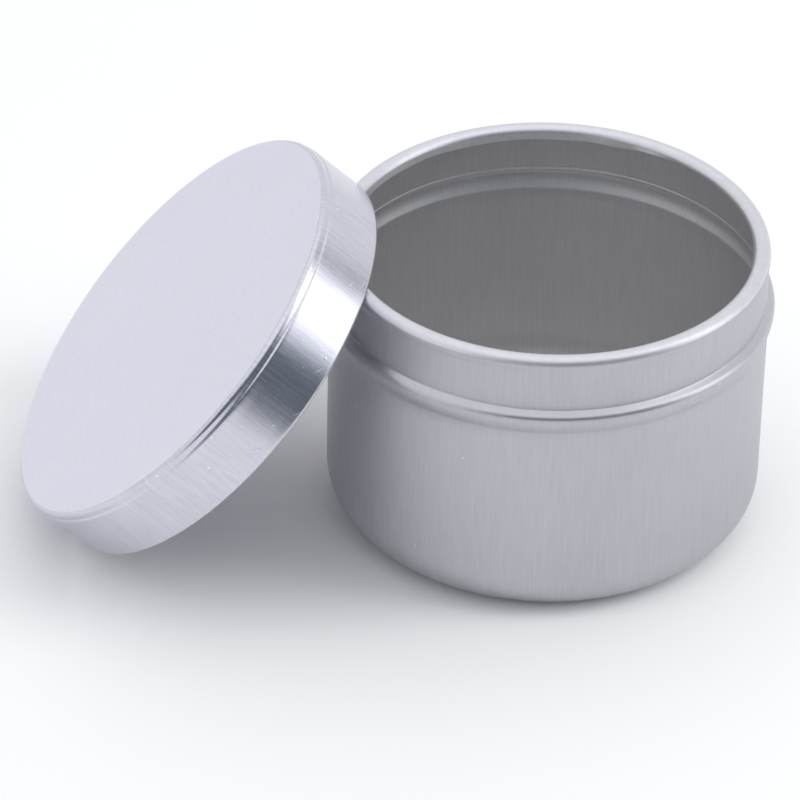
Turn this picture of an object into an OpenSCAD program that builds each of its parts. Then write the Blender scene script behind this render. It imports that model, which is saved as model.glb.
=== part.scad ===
// Round candle tin in two pieces: a seamless drawn tin and the slip lid
// that leans against it. Millimetres, +Z up. The origin is the centre of the
// tin's base, on the surface that the tin stands on. The lid leans towards -X,
// with its open side to the tin, its lower edge on the same surface and its
// skirt resting on the tin's rim.

/* [Sheet] */
// Thickness of the sheet metal of both pieces
sheet = 0.25; // [0.2:0.05:0.35]

/* [Tin] */
// Height of the tin, from its base to the top of its rolled rim
tin_h = 53; // [48:0.5:60]
// Outer radius of the straight wall
wall_r = 37.45; // [37.3:0.05:37.9]
// Outer radius of the rounded bottom corner
corner_r = 8; // [5:0.5:11]
// Outer radius of the crest of the bead
bead_r = 38.35; // [38.1:0.05:38.5]
// Height of the bead, from the wall up to the neck
bead_h = 4.1; // [3.5:0.1:6]
// Depth of the bead's crest below the foot of the neck
crest_h = 1.6; // [1.4:0.1:2]
// Outer radius of the neck that the lid slips over
neck_r = 37; // [36.6:0.05:37.05]
// Height of the neck and rim above the bead
neck_h = 10; // [9:0.1:12]
// Outer radius of the rolled rim
rim_r = 37.15; // [37.05:0.05:37.2]
// Outer radius of the roll of the rim, as a tube
roll_r = 1.45; // [1.1:0.05:1.6]
// How far the roll of the rim turns, in degrees from its outermost point
roll_turn = 250; // [200:5:280]

/* [Lid] */
// Outer radius of the lid's skirt
lid_r = 38.5; // [38.4:0.05:38.8]
// Depth of the lid, from its face to the open edge of its skirt
lid_h = 12.4; // [11.5:0.1:12.6]
// Radius of the rounded edge between face and skirt
lid_edge_r = 0.95; // [0.6:0.05:1.3]
// How much the skirt steps out below the rounded edge
lid_step = 0.2; // [0.1:0.05:0.3]
// Depth at which the skirt steps out
lid_step_z = 1.5; // [1.4:0.1:2]
// Outer radius of the curl at the open edge
curl_r = 0.55; // [0.5:0.01:0.56]

/* [Leaning lid] */
// Tilt of the lid from flat, in degrees
lean = 47.1; // [47:0.1:47.2]
// Distance from the tin's axis to the middle of the lid's face
lean_x = 64.66; // [64.65:0.01:64.9]
// Gap under the lid's lower edge
lean_gap = 0.05; // [0.02:0.01:0.1]

/* [Hidden] */
$fn = 96;

neck_z = tin_h - neck_h;               // where the neck meets the bead
crest_z = neck_z - crest_h;            // crest of the bead
wall_z = neck_z - bead_h;              // where the bead merges with the wall
roll_z = tin_h - roll_r;               // centre of the roll
flare_h = 1.3;                         // height over which the neck flares into the roll
lid_top_r = lid_r - lid_step;

// height of the middle of the face when the lower edge is lean_gap above the surface
lean_z = lean_gap + curl_r + (lid_h - curl_r) * cos(lean) + (lid_r - curl_r) * sin(lean);

// n + 1 points of an arc in the radius-height plane
function arc(cr, cz, r, a0, a1, n) =
    [for (i = [0:n]) let (a = a0 + (a1 - a0) * i / n) [cr + r * cos(a), cz + r * sin(a)]];

// a smooth step from 0 to 1
function ease(s) = (1 - cos(180 * s)) / 2;

// a point of the curve from a to c that b pulls on
function bend(a, b, c, s) = (1 - s) * (1 - s) * a + 2 * s * (1 - s) * b + s * s * c;

// unit tangent of the line p at point i
function unit(v) = v / norm(v);
function tangent(p, i) =
    i == 0 ? unit(p[1] - p[0]) :
    i == len(p) - 1 ? unit(p[i] - p[i - 1]) :
    unit(unit(p[i + 1] - p[i]) + unit(p[i] - p[i - 1]));

// the line p moved t to its left, so that each stretch stays parallel to its own
function beside(p, t) =
    [for (i = [0:len(p) - 1])
        let (v = tangent(p, i), k = max(i, 1), w = unit(p[k] - p[k - 1]))
        p[i] + t / (v * w) * [-v[1], v[0]]];

// closed outline of a sheet that lies to the left of the line p
function sheet_outline(p, t) =
    let (q = beside(p, t)) concat(p, [for (i = [len(q) - 1:-1:0]) q[i]]);

// outer line of the tin: base, corner, wall, bead, neck and rolled rim
function tin_line() = concat(
    [[0, 0]],
    arc(wall_r - corner_r, corner_r, corner_r, -90, 0, 12),
    [[wall_r, wall_z]],
    [for (i = [1:8]) [wall_r + (bead_r - wall_r) * sin(90 * i / 8), wall_z + (crest_z - wall_z) * i / 8]],
    [for (i = [1:6]) bend([bead_r, crest_z], [bead_r, neck_z - 0.45], [bead_r - 0.4, neck_z - 0.08], i / 6)],
    [[bead_r - 0.6, neck_z], [neck_r, neck_z], [neck_r, roll_z - flare_h]],
    [for (i = [1:5]) [neck_r + (rim_r - neck_r) * ease(i / 6), roll_z - flare_h + flare_h * i / 6]],
    arc(rim_r - roll_r, roll_z, roll_r, 0, roll_turn, 25)
);

// outer line of the lid: face, rounded edge, step, skirt and curled edge
function lid_line() = concat(
    [[0, 0]],
    arc(lid_top_r - lid_edge_r, -lid_edge_r, lid_edge_r, 90, 0, 8),
    [[lid_top_r, -lid_step_z]],
    [for (i = [1:5]) [lid_top_r + lid_step * ease(i / 5), -lid_step_z - 0.1 * i]],
    arc(lid_r - curl_r, -lid_h + curl_r, curl_r, 0, -200, 20)
);

// seamless drawn tin
module tin_body() {
    color("silver")
    rotate_extrude()
    polygon(sheet_outline(tin_line(), sheet));
}

// slip lid in its own frame: face at height 0, skirt downwards
module lid_flat() {
    rotate_extrude()
    polygon(sheet_outline(lid_line(), -sheet));
}

// slip lid where it leans against the tin
module lid() {
    color("lightsteelblue")
    translate([-lean_x, 0, lean_z])
    rotate([0, -lean, 0])
    lid_flat();
}

tin_body();
lid();
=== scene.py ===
import math
import bpy
import numpy as np
from mathutils import Matrix, Vector


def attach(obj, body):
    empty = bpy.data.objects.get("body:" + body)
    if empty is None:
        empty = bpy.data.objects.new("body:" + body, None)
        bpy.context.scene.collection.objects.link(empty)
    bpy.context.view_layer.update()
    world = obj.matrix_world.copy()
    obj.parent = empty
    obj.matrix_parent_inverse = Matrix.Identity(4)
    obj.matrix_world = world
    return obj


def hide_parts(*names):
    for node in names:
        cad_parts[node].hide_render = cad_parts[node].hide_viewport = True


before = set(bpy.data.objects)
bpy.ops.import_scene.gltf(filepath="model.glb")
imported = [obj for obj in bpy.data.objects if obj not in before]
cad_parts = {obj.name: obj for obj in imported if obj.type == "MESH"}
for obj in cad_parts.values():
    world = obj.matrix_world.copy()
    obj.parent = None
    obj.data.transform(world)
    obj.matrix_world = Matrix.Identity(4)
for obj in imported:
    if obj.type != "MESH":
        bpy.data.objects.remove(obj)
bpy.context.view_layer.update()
MM = 0.001

# ---------------------------------------------------------------- camera
TURN = math.radians(-6.04)          # the view's plan direction, about the tin's axis
PITCH, YAW, ROLL = math.radians(35.04), math.radians(-1.95), math.radians(1.21)
UNIT = 0.037164
cam_data = bpy.data.cameras.new("camera")
cam_data.sensor_width = 36.0
cam_data.lens = 36.0 * 5182.74 / 800.0
cam_data.clip_start, cam_data.clip_end = 0.05, 50.0
cam = bpy.data.objects.new("camera", cam_data)
bpy.context.scene.collection.objects.link(cam)
fw = Vector((math.sin(YAW) * math.cos(PITCH), math.cos(YAW) * math.cos(PITCH), -math.sin(PITCH)))
rt0 = Vector((math.cos(YAW), -math.sin(YAW), 0.0))
up0 = rt0.cross(fw)
rt = rt0 * math.cos(ROLL) + up0 * math.sin(ROLL)
up = up0 * math.cos(ROLL) - rt0 * math.sin(ROLL)
spin = Matrix.Rotation(TURN, 3, "Z")
pos = spin @ Vector((0.0, -19.708 * UNIT, 14.3116 * UNIT))
fw, rt, up = spin @ fw, spin @ rt, spin @ up
cam.matrix_world = Matrix(((rt.x, up.x, -fw.x, pos.x), (rt.y, up.y, -fw.y, pos.y), (rt.z, up.z, -fw.z, pos.z), (0, 0, 0, 1)))
bpy.context.scene.camera = cam

# ---------------------------------------------------------------- shapes
SHEET = 0.25
SEG = 300
TH = np.arange(SEG) * 2 * np.pi / SEG


def arc(cr, cz, r, a0, a1, n):
    a = np.radians(np.linspace(a0, a1, n + 1))
    return np.c_[cr + r * np.cos(a), cz + r * np.sin(a)]


def ease(s):
    return (1 - np.cos(np.pi * s)) / 2


def smooth(x, lo, hi):
    t = np.clip((x - lo) / (hi - lo), 0, 1)
    return t * t * (3 - 2 * t)


def line(p, q, step):
    """Points after p, up to and with q, about step apart."""
    p, q = np.array(p, float), np.array(q, float)
    n = max(1, int(np.ceil(np.linalg.norm(q - p) / step)))
    return p + (q - p) * (np.arange(1, n + 1) / n)[:, None]


def waves(theta, terms, seed):
    """A smooth closed wave round the axis, about -1 to 1."""
    r = np.random.default_rng(seed)
    out = np.zeros_like(theta)
    for k in terms:
        out += r.uniform(0.5, 1.0) * np.cos(k * theta + r.uniform(0, 2 * np.pi))
    return out / max(1e-9, 0.75 * len(terms) ** 0.5 * 1.6)


def angle_gap(theta, deg):
    """Signed distance from an angle, in degrees."""
    return (np.degrees(theta) - deg + 180) % 360 - 180


def lathe(name, rings_r, rings_z):
    """Closed solid of revolution. Each ring is an array round the axis; the first and last lie on the axis."""
    n, m = rings_r.shape
    verts = [(0.0, 0.0, float(rings_z[0].mean()) * MM)]
    x = rings_r[1:-1] * np.cos(TH) * MM
    y = rings_r[1:-1] * np.sin(TH) * MM
    z = rings_z[1:-1] * MM
    co = np.concatenate([np.array(verts), np.stack([x, y, z], -1).reshape(-1, 3), [(0.0, 0.0, float(rings_z[-1].mean()) * MM)]])
    k = n - 2
    j = np.arange(m)
    jn = (j + 1) % m
    quads = []
    for i in range(k - 1):
        a = 1 + i * m
        quads.append(np.c_[a + j, a + jn, a + m + jn, a + m + j])
    quads = np.concatenate(quads)
    tris = np.concatenate([np.c_[np.zeros(m, int), 1 + jn, 1 + j], np.c_[np.full(m, len(co) - 1), 1 + (k - 1) * m + j, 1 + (k - 1) * m + jn]])
    me = bpy.data.meshes.new(name)
    me.vertices.add(len(co))
    me.vertices.foreach_set("co", co.astype(np.float32).ravel())
    loops = np.concatenate([quads.ravel(), tris.ravel()])
    me.loops.add(len(loops))
    me.loops.foreach_set("vertex_index", loops.astype(np.int32))
    me.polygons.add(len(quads) + len(tris))
    starts = np.concatenate([np.arange(len(quads)) * 4, len(quads) * 4 + np.arange(len(tris)) * 3])
    me.polygons.foreach_set("loop_start", starts.astype(np.int32))
    me.polygons.foreach_set("use_smooth", np.ones(len(starts), bool))
    me.update(calc_edges=True)
    own = me.attributes.new("own", "FLOAT_VECTOR", "POINT")
    own.data.foreach_set("vector", co.astype(np.float32).ravel())
    # round the axis along U, along the sheet's outline along V
    u0, u1 = j / m, (j + 1) / m
    uq = np.tile(np.stack([u0, u1, u1, u0], 1), (k - 1, 1))
    v0 = np.repeat(np.arange(1, k) / (k + 1), m)
    v1 = v0 + 1 / (k + 1)
    vq = np.stack([v0, v0, v1, v1], 1)
    ut = np.concatenate([np.stack([(u0 + u1) / 2, u1, u0], 1), np.stack([(u0 + u1) / 2, u0, u1], 1)])
    vt = np.concatenate([np.tile([0, 1 / (k + 1), 1 / (k + 1)], (m, 1)), np.tile([1, k / (k + 1), k / (k + 1)], (m, 1))])
    uv = me.uv_layers.new(name="round")
    uv.data.foreach_set("uv", np.concatenate([np.stack([uq, vq], -1).reshape(-1, 2), np.stack([ut, vt], -1).reshape(-1, 2)]).astype(np.float32).ravel())
    if me.validate():
        raise RuntimeError(name + " has stray faces")
    o = bpy.data.objects.new(name, me)
    bpy.context.scene.collection.objects.link(o)
    return o


def sheet_rings(outer_r, outer_z, side):
    """Rings of a sheet beside an outer line of rings, with rounded raw edge. side is 1 for a sheet to the left."""
    dr, dz = np.gradient(outer_r, axis=0), np.gradient(outer_z, axis=0)
    ln = np.hypot(dr, dz)
    tr, tz = dr / ln, dz / ln
    nr, nz = -tz * side, tr * side
    nr[0], nz[0] = 0.0, 1.0 * side
    inner_r, inner_z = outer_r + SHEET * nr, outer_z + SHEET * nz
    inner_r[0] = 0.0
    cap_r, cap_z = [], []
    for a in (25, 60, 90, 120, 155):      # half a turn round the raw edge
        c, s = math.cos(math.radians(a)), math.sin(math.radians(a))
        cap_r.append(outer_r[-1] + SHEET / 2 * nr[-1] * (1 - c) + SHEET * 0.42 * s * tr[-1])
        cap_z.append(outer_z[-1] + SHEET / 2 * nz[-1] * (1 - c) + SHEET * 0.42 * s * tz[-1])
    rr = np.concatenate([outer_r, cap_r, inner_r[::-1]])
    zz = np.concatenate([outer_z, cap_z, inner_z[::-1]])
    return rr, zz, nr, nz


# ---- tin
TIN_H, WALL_R, CORNER_R, BEAD_R, BEAD_H = 53.0, 37.45, 8.0, 38.35, 4.1
NECK_R, NECK_H, RIM_R, ROLL_R = 37.0, 10.0, 37.15, 1.45
NECK_Z = TIN_H - NECK_H
CREST_Z, WALL_Z, ROLL_Z, FLARE_H, FIL = NECK_Z - 1.48, NECK_Z - BEAD_H - 0.3, TIN_H - ROLL_R, 1.3, 0.15

s12, s6 = np.arange(1, 13) / 12, np.arange(1, 7) / 7
p = [np.array([[0.0, 0.0]])]
p.append(line((0, 0), (WALL_R - CORNER_R, 0), 3.0))
p.append(arc(WALL_R - CORNER_R, CORNER_R, CORNER_R, -90, 0, 16)[1:])
p.append(line((WALL_R, CORNER_R), (WALL_R, 24), 0.42))
p.append(line((WALL_R, 24), (WALL_R, WALL_Z), 2.4))
p.append(np.c_[WALL_R + (BEAD_R - WALL_R) * np.sin(np.pi / 2 * s12), WALL_Z + (CREST_Z - WALL_Z) * s12])
p.append(arc(BEAD_R - 1.2, CREST_Z, 1.2, 0, 60, 9)[1:])
p.append(line(p[-1][-1], (NECK_R + FIL * 1.1, NECK_Z - 0.07), 0.25))
p.append(arc(NECK_R + FIL, NECK_Z - 0.02 + FIL, FIL, -110, -180, 3)[1:])
p.append(line((NECK_R, NECK_Z - 0.02 + FIL), (NECK_R, NECK_Z + 0.75), 0.075))
p.append(line((NECK_R, NECK_Z + 0.75), (NECK_R, ROLL_Z - FLARE_H), 1.1))
p.append(np.c_[NECK_R + (RIM_R - NECK_R) * ease(s6), ROLL_Z - FLARE_H + FLARE_H * s6])
wall_line = np.concatenate(p)
nw = len(wall_line)
r0 = np.repeat(wall_line[:, :1], SEG, 1)
z0 = np.repeat(wall_line[:, 1:], SEG, 1)
# the rolled rim, whose raw edge wanders round the mouth
gap = angle_gap(TH, 62.0)
short = smooth(-angle_gap(TH, 66), 0, 24) * smooth(angle_gap(TH, -20), 0, 25)
hem = 1.15 + 0.08 * waves(TH, [3, 5, 8, 13], 3) - 0.85 * short
pucker = np.exp(-(gap / 17) ** 2)
hem += 0.14 * pucker * np.sin(np.radians(gap) * 22) + 0.05 * np.exp(-(angle_gap(TH, 128) / 25) ** 2) * np.sin(TH * 17)
ang = np.radians(np.linspace(0, 1, 29)[:, None] * (162 + 0 * hem))
roll_r = RIM_R - ROLL_R + ROLL_R * np.cos(ang)
roll_z = ROLL_Z + ROLL_R * np.sin(ang)
lean_ang = np.radians(170 + 2.0 * waves(TH, [2, 5, 7], 6))
along = np.linspace(0, 1, 11)[1:, None]
buckle = 0.07 * pucker * np.sin(np.radians(gap) * 22 + 0.8) * along ** 1.5
hem_r = roll_r[-1] - hem * along * np.sin(lean_ang) + buckle
hem_z = roll_z[-1] + hem * along * np.cos(lean_ang)
roll_r, roll_z = np.concatenate([roll_r, hem_r]), np.concatenate([roll_z, hem_z])
tin_r, tin_z = np.concatenate([r0, roll_r]), np.concatenate([z0, roll_z])
# slow waviness of the drawn wall, and faint draw rings near the floor
body_mask = smooth(tin_z, 6, 12) * (1 - smooth(tin_z, WALL_Z - 2, WALL_Z + 2)) * (tin_r > 30)
tin_r = tin_r - body_mask * 0.018 * (1 + waves(TH, [2, 3, 5, 7, 11], 5) * (0.6 + 0.4 * np.sin(tin_z / 9.0 + 2 * TH)))
neck_mask = smooth(tin_z, NECK_Z + 1, NECK_Z + 3) * (1 - smooth(tin_z, ROLL_Z - 3, ROLL_Z - 1)) * (tin_r > 36)
tin_r = tin_r - neck_mask * 0.012 * (1 + waves(TH, [3, 4, 6, 9], 8))
all_r, all_z, _, _ = sheet_rings(tin_r, tin_z, 1)
ni = len(tin_r) + 5                     # where the inner side starts
inner = np.zeros(len(all_r), bool)
inner[ni:] = True
iz, ir = all_z, all_r
ring_amp = np.where(inner[:, None] & (ir > 33), smooth(iz, 2.5, 5) * (1 - smooth(iz, 15, 24)), 0)
ringing = 0.5 * np.sin(iz * 2 * np.pi / 1.9 + 0.8 * np.sin(TH + 1)) + 0.3 * np.sin(iz * 2 * np.pi / 1.13 + 1.7) + 0.2 * np.sin(iz * 2 * np.pi / 3.1 + 0.4)
all_r = all_r + 0.022 * ring_amp * ringing
# the fine ridge that the beading leaves inside, along the foot of the neck
all_r = all_r - np.where(inner[:, None] & (ir > 36), 0.10 * np.exp(-((iz - NECK_Z - 0.32) / 0.14) ** 2), 0)
tin = lathe("tin_shell", all_r, all_z)

# ---- lid, in its own frame: face at height 0, skirt downwards
LID_R, LID_H, EDGE_R, STEP, STEP_Z, CURL_R = 38.5, 12.4, 0.95, 0.2, 1.5, 0.55
TOP_R = LID_R - STEP
p = [np.array([[0.0, 0.0]])]
p.append(line((0, 0), (TOP_R - EDGE_R, 0), 0.9))
p.append(arc(TOP_R - EDGE_R, -EDGE_R, EDGE_R, 90, 0, 18)[1:])
p.append(line((TOP_R, -EDGE_R), (TOP_R, -STEP_Z), 0.12))
s8 = np.arange(1, 9) / 8
p.append(np.c_[TOP_R + STEP * ease(s8), -STEP_Z - 0.5 * s8])
p.append(line((LID_R, -STEP_Z - 0.5), (LID_R, -LID_H + CURL_R), 0.45))
p.append(arc(LID_R - CURL_R, -LID_H + CURL_R, CURL_R, 0, -200, 30)[1:])
lid_line = np.concatenate(p)
lr = np.repeat(lid_line[:, :1], SEG, 1)
lz = np.repeat(lid_line[:, 1:], SEG, 1)
skirt = smooth(-lz, 2.2, 4.0) * (1 - smooth(-lz, 10.0, 11.6)) * (lr > 38)
lr = lr - skirt * 0.012 * (1 + waves(TH, [2, 4, 5, 9, 14], 21) + 0.4 * np.sin(lz / 2.7 + 3 * TH))
face = (1 - smooth(lr, 30, 36.8)) * (lz > -0.01)
lz = lz - face * 0.03 * (1 + 0.5 * waves(TH, [2, 3], 4) * smooth(lr, 0, 20) + 0.25 * np.cos(lr / 5.5))
lid_rr, lid_zz, _, _ = sheet_rings(lr, lz, -1)
lid = lathe("lid_shell", lid_rr, lid_zz)
LEAN, LEAN_X, LEAN_GAP = math.radians(47.1), 64.66, 0.05
lean_z = LEAN_GAP + CURL_R + (LID_H - CURL_R) * math.cos(LEAN) + (LID_R - CURL_R) * math.sin(LEAN)
LID_PLACE = Matrix.Translation(Vector((-LEAN_X, 0, lean_z)) * MM) @ Matrix.Rotation(-LEAN, 4, "Y")


# ---------------------------------------------------------------- materials
class Tree:
    """Short hand for building a node material."""

    def __init__(self, name):
        self.mat = bpy.data.materials.new(name)
        self.mat.use_nodes = True
        self.t = self.mat.node_tree
        self.t.nodes.clear()
        self.x = 0

    def node(self, kind, **props):
        n = self.t.nodes.new(kind)
        self.x += 40
        n.location = (self.x, 0)
        for k, v in props.items():
            setattr(n, k, v)
        return n

    def put(self, socket, value):
        if isinstance(value, bpy.types.NodeSocket):
            self.t.links.new(value, socket)
        else:
            socket.default_value = value

    def math(self, op, a, b=None, c=None, clamp=False):
        n = self.node("ShaderNodeMath", operation=op, use_clamp=clamp)
        for s, v in zip(n.inputs, (a, b, c)):
            if v is not None:
                self.put(s, v)
        return n.outputs[0]

    def combine(self, x, y, z):
        n = self.node("ShaderNodeCombineXYZ")
        for s, v in zip(n.inputs, (x, y, z)):
            self.put(s, v)
        return n.outputs[0]

    def noise(self, vec, scale=1.0, detail=2.0, rough=0.5, dist=0.0):
        n = self.node("ShaderNodeTexNoise", noise_dimensions="3D")
        self.put(n.inputs["Vector"], vec)
        n.inputs["Scale"].default_value = scale
        n.inputs["Detail"].default_value = detail
        n.inputs["Roughness"].default_value = rough
        n.inputs["Distortion"].default_value = dist
        return n.outputs["Fac"]

    def ramp(self, value, lo, hi, to_lo=0.0, to_hi=1.0, kind="SMOOTHSTEP"):
        n = self.node("ShaderNodeMapRange", interpolation_type=kind, clamp=True)
        for k, v in (("Value", value), ("From Min", lo), ("From Max", hi), ("To Min", to_lo), ("To Max", to_hi)):
            self.put(n.inputs[k], v)
        return n.outputs["Result"]

    def mix(self, fac, a, b):
        n = self.node("ShaderNodeMix", data_type="RGBA")
        self.put(n.inputs[0], fac)
        for s, v in ((n.inputs[6], a), (n.inputs[7], b)):
            self.put(s, v)
        return n.outputs[2]

    def bump(self, height, distance, strength=1.0, normal=None):
        n = self.node("ShaderNodeBump")
        n.inputs["Strength"].default_value = strength
        n.inputs["Distance"].default_value = distance
        self.put(n.inputs["Height"], height)
        if normal is not None:
            self.put(n.inputs["Normal"], normal)
        return n.outputs["Normal"]


def grey(v, tint=(1.0, 1.0, 1.0)):
    return (v * tint[0], v * tint[1], v * tint[2], 1.0)


TIN_TINT, LID_TINT = (0.985, 0.985, 1.035), (0.97, 0.965, 1.065)


def metal(name, kind):
    """Tinplate. kind is wall (lines along the axis), face (fine orange peel) or plain (rim and curls)."""
    m = Tree(name)
    co = m.node("ShaderNodeAttribute", attribute_type="GEOMETRY", attribute_name="own").outputs["Vector"]
    sep = m.node("ShaderNodeSeparateXYZ")
    m.put(sep.inputs[0], co)
    x, y, z = sep.outputs
    r = m.math("MAXIMUM", m.math("SQRT", m.math("ADD", m.math("MULTIPLY", x, x), m.math("MULTIPLY", y, y))), 1e-4)
    ux, uy = m.math("DIVIDE", x, r), m.math("DIVIDE", y, r)

    def around(k, kz):
        """Coordinates that run k per metre round the wall and kz per metre along the axis."""
        return m.combine(m.math("MULTIPLY", ux, 0.0374 * k), m.math("MULTIPLY", uy, 0.0374 * k), m.math("MULTIPLY", z, kz))

    smudge = m.noise(co, 38.0, 3.0, 0.55, 0.4)
    grain = m.noise(co, 2600.0, 2.0, 0.6)
    pit_n = m.node("ShaderNodeTexVoronoi", feature="F1", distance="EUCLIDEAN")
    m.put(pit_n.inputs["Vector"], co)
    pit_n.inputs["Scale"].default_value = 420.0
    pit_n.inputs["Randomness"].default_value = 1.0
    some = m.node("ShaderNodeSeparateXYZ")
    m.put(some.inputs[0], pit_n.outputs["Color"])
    pit = m.math("MULTIPLY", m.ramp(pit_n.outputs["Distance"], 0.05, 0.12, 1.0, 0.0), m.ramp(some.outputs[0], *((0.55, 0.9) if kind == "skirt" else (0.94, 0.98))))
    if kind == "skirt":
        slant = m.math("ADD", m.math("MULTIPLY", ux, 0.8), m.math("MULTIPLY", z, 25.0))
        nick = m.noise(m.combine(m.math("MULTIPLY", slant, 110.0), m.math("MULTIPLY", uy, 14.0), m.math("MULTIPLY", z, 160.0)), 1.0, 1.0, 0.5)
        nick = m.math("MULTIPLY", m.ramp(nick, 0.70, 0.76), m.ramp(z, -0.0075, -0.0095))
        pit = m.math("MAXIMUM", pit, m.math("MULTIPLY", nick, 0.6))
    if kind in ("wall", "inside", "skirt"):
        fine = m.noise(around(3900, 170 if kind == "skirt" else 130), 1.0, 2.0, 0.55)
        mid = m.noise(around(1150, 28), 1.0, 3.0, 0.6)
        broad = m.noise(around(210, 9), 1.0, 2.0, 0.5)
        lines = m.math("ADD", m.math("MULTIPLY", fine, 0.55), m.math("MULTIPLY", mid, 0.45))
        tone = m.math("ADD", m.math("MULTIPLY", lines, 0.7), m.math("MULTIPLY", broad, 0.3))
        height = m.math("ADD", m.math("MULTIPLY", lines, 1.0), m.math("MULTIPLY", grain, 0.25))
    else:
        broad = m.noise(co, 60.0, 2.0, 0.5)
        lines = fine = m.noise(co, 900.0, 3.0, 0.6)
        tone = m.math("ADD", m.math("MULTIPLY", grain, 0.5), m.math("MULTIPLY", broad, 0.5))
        height = m.math("ADD", m.math("MULTIPLY", grain, 0.5), m.math("MULTIPLY", lines, 0.5))
    look = {
        # colour low and high, roughness low and high, bump distance, anisotropy, tint
        # the outer wall's darker colour is painted shade, standing in for the dark front of the studio that the wall
        # mirrors
        "wall": (0.525, 0.565, 0.44, 0.54, 2.8e-6, 0.4, TIN_TINT),
        # the inside's colour, lighter than the outer wall of the same tinplate, is painted light
        "inside": (0.695, 0.745, 0.46, 0.56, 3.0e-6, 0.4, (1.0, 0.995, 1.005)),
        "skirt": (0.62, 0.70, 0.17, 0.27, 7.0e-6, 0.3, LID_TINT),
        "face": (0.755, 0.785, 0.36, 0.44, 2.0e-6, 0.0, LID_TINT),
        "plain": (0.70, 0.74, 0.38, 0.46, 0.4e-6, 0.0, TIN_TINT),
        "bead": (0.545, 0.575, 0.34, 0.40, 0.2e-6, 0.0, TIN_TINT),
        # the hem's near-white colour is painted light on the tucked-in raw edge of the roll
        "hem": (0.86, 0.92, 0.40, 0.50, 0.8e-6, 0.0, (1.0, 1.0, 1.0)),
        "floor": (0.64, 0.68, 0.36, 0.44, 2.0e-6, 0.0, (1.0, 1.0, 1.0)),
    }[kind]
    b = m.node("ShaderNodeBsdfPrincipled")
    b.inputs["Metallic"].default_value = 1.0
    b.inputs["Anisotropic"].default_value = look[5]
    tint = look[6]
    base = m.mix(m.ramp(m.math("ADD", m.math("MULTIPLY", fine, 0.6), m.math("MULTIPLY", tone, 0.4)), 0.36, 0.64), grey(look[0], tint), grey(look[1], tint))
    base = m.mix(m.math("MULTIPLY", pit, 0.8 if kind == "skirt" else 0.4), base, grey(0.95))
    m.put(b.inputs["Base Color"], base)
    rough = m.ramp(m.math("ADD", m.math("MULTIPLY", smudge, 0.5), m.math("MULTIPLY", tone, 0.5)), 0.35, 0.65, look[2], look[3])
    m.put(b.inputs["Roughness"], rough)
    height = m.math("SUBTRACT", height, m.math("MULTIPLY", pit, 1.6))
    m.put(b.inputs["Normal"], m.bump(height, look[4], 1.0))
    if look[5]:
        t = m.node("ShaderNodeTangent", direction_type="UV_MAP", uv_map="round")
        m.put(b.inputs["Tangent"], t.outputs[0])
    out = m.node("ShaderNodeOutputMaterial")
    m.put(out.inputs["Surface"], b.outputs[0])
    return m.mat


M_WALL, M_SKIRT, M_FACE = metal("tin_wall_metal_painted_shade", "wall"), metal("lid_skirt_metal", "skirt"), metal("lid_face_metal", "face")
M_PLAIN, M_FLOOR, M_INSIDE, M_HEM, M_BEAD = metal("rim_metal", "plain"), metal("tin_floor_metal", "floor"), metal("tin_inside_metal_painted_light", "inside"), metal("rim_hem_metal_painted_light", "hem"), metal("bead_metal", "bead")


def assign(obj, mats, choose):
    """Gives every face the material that choose names for its middle (radius and height in mm in its own frame, and 1 on the outer side)."""
    for mt in mats:
        obj.data.materials.append(mt)
    n = len(obj.data.polygons)
    c, d = np.zeros(n * 3, np.float32), np.zeros(n * 3, np.float32)
    obj.data.polygons.foreach_get("center", c)
    obj.data.polygons.foreach_get("normal", d)
    c, d = c.reshape(-1, 3) / MM, d.reshape(-1, 3)
    r = np.hypot(c[:, 0], c[:, 1])
    out = (d[:, 0] * c[:, 0] + d[:, 1] * c[:, 1]) / np.maximum(r, 1e-6) > -0.02
    obj.data.polygons.foreach_set("material_index", choose(r, c[:, 2], out).astype(np.int32))


def tin_parts(r, z, out):
    """0 wall, 1 rim, 2 floor, 3 inside, 4 hem, 5 crown of the bead."""
    part = np.where(out, 0, 3)
    part = np.where(out & (z > CREST_Z + 0.35) & (z < NECK_Z + 0.1), 5, part)
    part = np.where((z < 1.2) & (r < 31), 2, part)
    part = np.where((z > ROLL_Z + 0.45) & (r > RIM_R - ROLL_R - 1.38), 1, part)
    return np.where((z > ROLL_Z - 1.6) & (z < ROLL_Z + 0.47) & (r < RIM_R - ROLL_R - 1.2), 4, part)


assign(tin, [M_WALL, M_PLAIN, M_FLOOR, M_INSIDE, M_HEM, M_BEAD], tin_parts)
assign(lid, [M_SKIRT, M_FACE, M_PLAIN], lambda r, z, out: np.where((z > -0.6) & (r < 37.6), 1, np.where(z < -LID_H + CURL_R, 2, 0)))

lid.data.transform(LID_PLACE)

for obj, body, cad, slot in ((tin, "tin", "tin_body", "tin_metal"), (lid, "slip_lid", "lid", "lid_metal")):
    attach(obj, body)
    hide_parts(cad)

# ---------------------------------------------------------------- stage
KEY, KEY_SHINE = 3.0, 2.1
SKY_LOW, SKY_TOP, SKY_HOLE = 0.95, 1.18, 0.19
HOLE_AZ = (-38.0, -16.0, 56.0, 72.0)
HOLE_EL = (30.0, 46.0)

me = bpy.data.meshes.new("table")
S = 6.0
me.from_pydata([(-S, -S, -0.00006), (S, -S, -0.00006), (S, S, -0.00006), (-S, S, -0.00006)], [], [(0, 1, 2, 3)])
table = bpy.data.objects.new("table", me)
bpy.context.scene.collection.objects.link(table)
tm = bpy.data.materials.new("table_white")
tm.use_nodes = True
tb = tm.node_tree.nodes["Principled BSDF"]
tb.inputs["Base Color"].default_value = (0.92, 0.92, 0.918, 1)
tb.inputs["Roughness"].default_value = 0.75
tb.inputs["Specular IOR Level"].default_value = 0.2
me.materials.append(tm)


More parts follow.
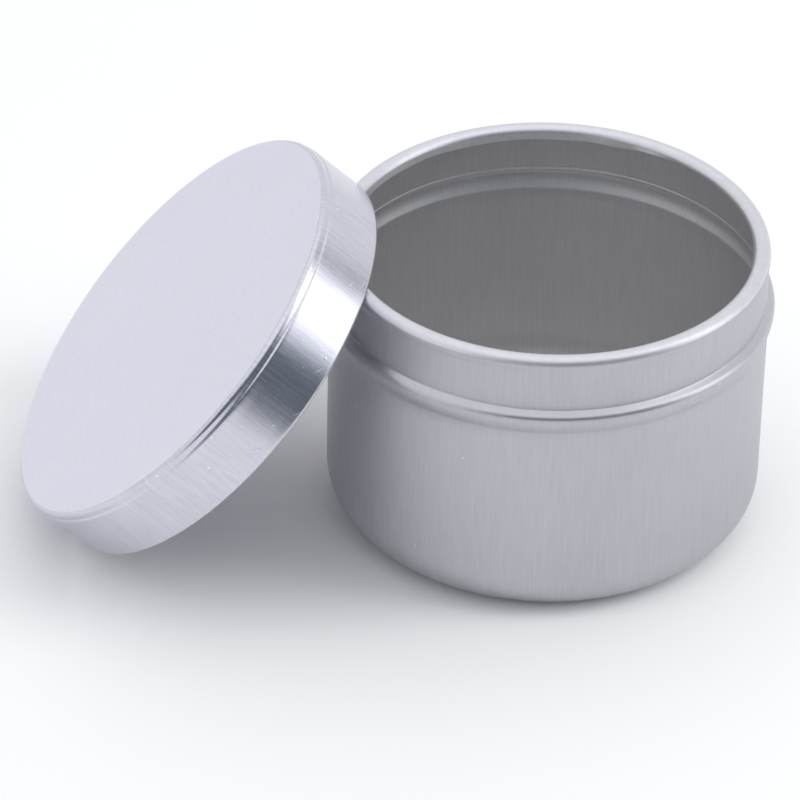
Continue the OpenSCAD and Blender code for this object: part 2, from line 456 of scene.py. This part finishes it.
def softbox(name, az, el, dist, w, h, power, colour=(1, 1, 1), aim=(-0.01, 0, 0.03)):
    """A soft light. az is its plan direction in degrees from +X, el its height above the horizon."""
    a, e = math.radians(az), math.radians(el)
    d = Vector((math.cos(a) * math.cos(e), math.sin(a) * math.cos(e), math.sin(e)))
    li = bpy.data.lights.new(name, "AREA")
    li.shape, li.size, li.size_y, li.energy, li.color = "RECTANGLE", w, h, power, colour
    o = bpy.data.objects.new(name, li)
    bpy.context.scene.collection.objects.link(o)
    o.location = Vector(aim) + d * dist
    o.rotation_mode = "QUATERNION"
    o.rotation_quaternion = d.to_track_quat("Z", "Y")
    o.visible_camera = False
    return o


BACK = math.degrees(math.atan2(pos.y, pos.x))      # plan direction towards the camera
softbox("right", BACK + 86, 34, 1.0, 0.48, 0.9, KEY).visible_glossy = False     # the tent's bright side is what the metal mirrors

# the lower lip of the dark opening, seen only in reflections, with soft edges
cr, ch, na = 0.27, 0.12, 60
ca = np.radians(np.linspace(BACK - 45, BACK + 80, na + 1))
cv = [(cr * math.cos(t), cr * math.sin(t), zc) for zc in (0.0, ch) for t in ca]
me = bpy.data.meshes.new("opening_lip")
me.from_pydata(cv, [], [(i, i + 1, na + 2 + i, na + 1 + i) for i in range(na)])
lip = bpy.data.objects.new("opening_lip", me)
bpy.context.scene.collection.objects.link(lip)
lm = Tree("opening_dark")
sep = lm.node("ShaderNodeSeparateXYZ")
lm.put(sep.inputs[0], lm.node("ShaderNodeTexCoord").outputs["Object"])
cb, sb = math.cos(math.radians(BACK)), math.sin(math.radians(BACK))
turn_ = lm.math("MULTIPLY", lm.math("ARCTAN2", lm.math("SUBTRACT", lm.math("MULTIPLY", sep.outputs[1], cb), lm.math("MULTIPLY", sep.outputs[0], sb)), lm.math("ADD", lm.math("MULTIPLY", sep.outputs[0], cb), lm.math("MULTIPLY", sep.outputs[1], sb))), 57.29578)
cover = lm.math("MULTIPLY", lm.ramp(turn_, -38.0, -12.0), lm.ramp(turn_, 50.0, 74.0, 1.0, 0.0))
cover = lm.math("MULTIPLY", cover, lm.ramp(sep.outputs[2], 0.0, 0.04, 0.35, 1.0))
cover = lm.math("MULTIPLY", cover, lm.ramp(sep.outputs[2], 0.07, 0.115, 1.0, 0.0))
em = lm.node("ShaderNodeEmission")
em.inputs["Color"].default_value = (0.72, 0.84, 1.0, 1)
em.inputs["Strength"].default_value = SKY_HOLE
ms = lm.node("ShaderNodeMixShader")
lm.put(ms.inputs[0], cover)
lm.put(ms.inputs[1], lm.node("ShaderNodeBsdfTransparent").outputs[0])
lm.put(ms.inputs[2], em.outputs[0])
lm.put(lm.node("ShaderNodeOutputMaterial").inputs["Surface"], ms.outputs[0])
me.materials.append(lm.mat)
lip.visible_camera = lip.visible_diffuse = lip.visible_shadow = False

# A white tent with a dark opening towards the front, as a soft studio has.
world = bpy.data.worlds.new("studio")
bpy.context.scene.world = world
world.use_nodes = True
w = Tree.__new__(Tree)
w.t, w.x = world.node_tree, 0
w.t.nodes.clear()
sep = w.node("ShaderNodeSeparateXYZ")
w.put(sep.inputs[0], w.node("ShaderNodeTexCoord").outputs["Generated"])
dx, dy, dz = sep.outputs
dark = Vector((math.cos(math.radians(BACK)), math.sin(math.radians(BACK))))
ahead = w.math("ADD", w.math("MULTIPLY", dx, dark.x), w.math("MULTIPLY", dy, dark.y))
aside = w.math("ADD", w.math("MULTIPLY", dx, -dark.y), w.math("MULTIPLY", dy, dark.x))
az = w.math("MULTIPLY", w.math("ARCTAN2", aside, ahead), 57.29578)
el = w.math("MULTIPLY", w.math("ARCSINE", dz), 57.29578)
hole = w.math("MULTIPLY", w.math("MULTIPLY", w.ramp(az, *HOLE_AZ[:2]), w.ramp(az, *HOLE_AZ[2:], 1.0, 0.0)), w.ramp(el, *HOLE_EL, 1.0, 0.0))
sky = w.ramp(el, 35.0, 75.0, SKY_LOW, SKY_TOP)
frame_bar = w.math("MULTIPLY", w.ramp(az, 103.0, 107.0), w.ramp(az, 113.0, 124.0, 0.4, 0.0))
sky = w.math("MULTIPLY", sky, w.math("SUBTRACT", 1.0, frame_bar))
level = w.math("ADD", w.math("MULTIPLY", sky, w.math("SUBTRACT", 1.0, hole)), w.math("MULTIPLY", hole, SKY_HOLE))
shine = w.math("MULTIPLY", w.math("MULTIPLY", w.ramp(az, 60.0, 84.0), w.ramp(az, 96.0, 104.0, 1.0, 0.0)), w.math("MULTIPLY", w.ramp(el, 2.0, 12.0), w.ramp(el, 52.0, 72.0, 1.0, 0.0)))
level = w.math("ADD", level, w.math("MULTIPLY", shine, KEY_SHINE - SKY_LOW))
tent = w.node("ShaderNodeBackground")
w.put(tent.inputs["Color"], w.mix(hole, (0.96, 0.968, 1.0, 1), (0.72, 0.84, 1.0, 1)))
w.put(tent.inputs["Strength"], level)
plain = w.node("ShaderNodeBackground")
plain.inputs["Color"].default_value = (0.93, 0.93, 0.94, 1)
plain.inputs["Strength"].default_value = 1.0
both = w.node("ShaderNodeMixShader")
w.put(both.inputs[0], w.node("ShaderNodeLightPath").outputs["Is Camera Ray"])
w.put(both.inputs[1], tent.outputs[0])
w.put(both.inputs[2], plain.outputs[0])
w.put(w.node("ShaderNodeOutputWorld").inputs["Surface"], both.outputs[0])
bpy.context.scene.view_settings.view_transform = "Standard"
